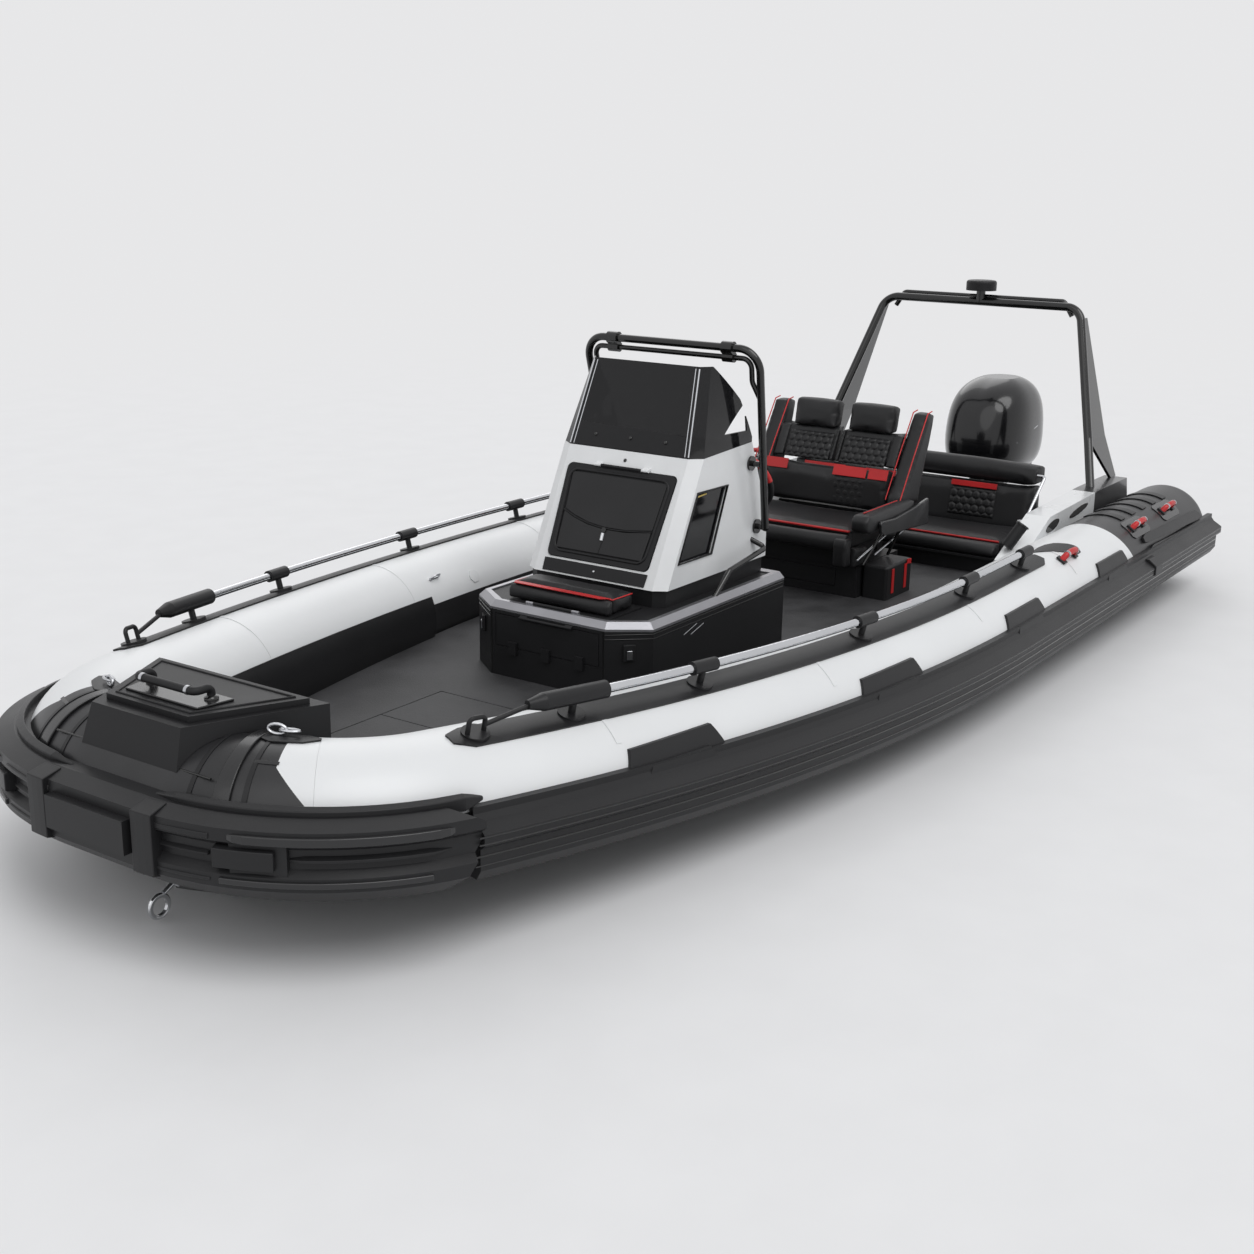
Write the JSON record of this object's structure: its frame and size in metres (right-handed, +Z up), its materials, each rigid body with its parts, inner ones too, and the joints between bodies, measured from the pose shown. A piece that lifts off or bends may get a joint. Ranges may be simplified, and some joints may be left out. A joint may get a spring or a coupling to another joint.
{
  "type": "inflatable rib boat",
  "caption": "Rigid inflatable boat: deep-V hull with an inflatable collar, centre console with windscreen and hoop, helm seat, stern bench, arch and tilting, steering outboard.",
  "frame": {"origin": "on the waterline, on the centreline, amidships", "axes": "+X to the bow, +Y to port, +Z up"},
  "size_m": [8.205, 3.324, 2.5559],
  "materials": {
    "gelcoat_black": "semi-gloss",
    "collar_white": "satin",
    "collar_black": "satin",
    "strake_rubber": "matt",
    "deck_grey": "matt",
    "moulded_black": "satin",
    "gelcoat_white": "gloss",
    "smoked_screen": "clear",
    "pipe_black": "gloss",
    "upholstery": "satin",
    "cowl_black": "high gloss",
    "leg_black": "satin",
    "stainless": "polished",
    "rim_silver": "satin",
    "engine_metal": "cast"
  },
  "bodies": {
    "boat": {"hull": "gelcoat_black", "deck": "deck_grey", "collar_bow": "collar_black", "collar_port": "collar_white", "collar_starboard": "collar_white", "stern_cone_port": "collar_black", "stern_cone_starboard": "collar_black", "rubbing_strake_port": "strake_rubber", "rubbing_strake_starboard": "strake_rubber", "bow_fender": "strake_rubber", "bow_liner": "upholstery", "grab_rail_port": "stainless", "grab_rail_starboard": "stainless", "rail_mounts_port": "strake_rubber", "rail_mounts_starboard": "strake_rubber", "bow_locker": "moulded_black", "bow_eye": "stainless", "front_locker": "moulded_black", "locker_rim": "rim_silver", "console": "gelcoat_white", "console_windows": "smoked_screen", "dash": "moulded_black", "windscreen": "smoked_screen", "hoop": "pipe_black", "hand_rails": "pipe_black", "seat_pod": "moulded_black", "helm_cushion": "upholstery", "helm_back": "upholstery", "helm_arms": "upholstery", "cooler": "moulded_black", "bench_base": "moulded_black", "bench_back": "upholstery", "bench_stays": "stainless", "coaming_port": "gelcoat_white", "coaming_starboard": "gelcoat_white", "transom": "gelcoat_black", "arch": "pipe_black", "arch_light": "moulded_black", "clamp_bracket": "leg_black"},
    "bow_lid": {"bow_locker_lid": "moulded_black"},
    "locker_lid": {"front_locker_lid": "moulded_black", "front_cushion": "upholstery"},
    "locker_flap": {"front_locker_flap": "moulded_black"},
    "hatch": {"console_hatch": "moulded_black"},
    "pod_door": {"seat_pod_door": "moulded_black"},
    "bench_lid": {"bench_lid": "moulded_black", "bench_cushion": "upholstery"},
    "wheel": {"steering_wheel": "moulded_black"},
    "tilt_swivel": {"swivel": "leg_black"},
    "outboard": {"outboard_leg": "leg_black", "cowl": "cowl_black", "engine_block": "engine_metal"},
    "propeller": {"propeller": "leg_black"}
  },
  "joints": [
    {"name": "bow_lid_hinge", "type": "hinge", "parent": "boat", "child": "bow_lid", "pos_m": [3.255, 0, 0.8075], "axis": [0, -1, 0], "range_deg": [0, 90]},
    {"name": "locker_lid_hinge", "type": "hinge", "parent": "boat", "child": "locker_lid", "pos_m": [1.352, 0, 0.663], "axis": [0, 1, 0], "range_deg": [0, 90]},
    {"name": "locker_flap_hinge", "type": "hinge", "parent": "boat", "child": "locker_flap", "pos_m": [1.408, 0, 0.6], "axis": [0, -1, 0], "range_deg": [0, 90]},
    {"name": "hatch_hinge", "type": "hinge", "parent": "boat", "child": "hatch", "pos_m": [0.81632, 0, 1.23136], "axis": [0, -1, 0], "range_deg": [0, 70]},
    {"name": "pod_door_hinge", "type": "hinge", "parent": "boat", "child": "pod_door", "pos_m": [-0.872, -0.3, 0.4], "axis": [0, 0, -1], "range_deg": [0, 100]},
    {"name": "bench_lid_hinge", "type": "hinge", "parent": "boat", "child": "bench_lid", "pos_m": [-1.852, 0, 0.387], "axis": [0, 1, 0], "range_deg": [0, 80]},
    {"name": "wheel_turn", "type": "hinge", "parent": "boat", "child": "wheel", "pos_m": [0.03972, 0.19, 1.0668], "axis": [-0.8901, 0, 0.4558], "range_deg": [-540, 540]},
    {"name": "outboard_tilt", "type": "hinge", "parent": "boat", "child": "tilt_swivel", "pos_m": [-3.455, 0, 0.48], "axis": [0, 1, 0], "range_deg": [0, 60]},
    {"name": "outboard_steer", "type": "hinge", "parent": "tilt_swivel", "child": "outboard", "pos_m": [-3.585, 0, 0.48], "axis": [0, 0, 1], "range_deg": [-30, 30]},
    {"name": "propeller_spin", "type": "hinge", "parent": "outboard", "child": "propeller", "pos_m": [-4.078, 0, -0.42], "axis": [1, 0, 0], "continuous": true}
  ],
  "couplings": [
    {"joint": "wheel_turn", "follows": "outboard_steer", "ratio": -18}
  ]
}
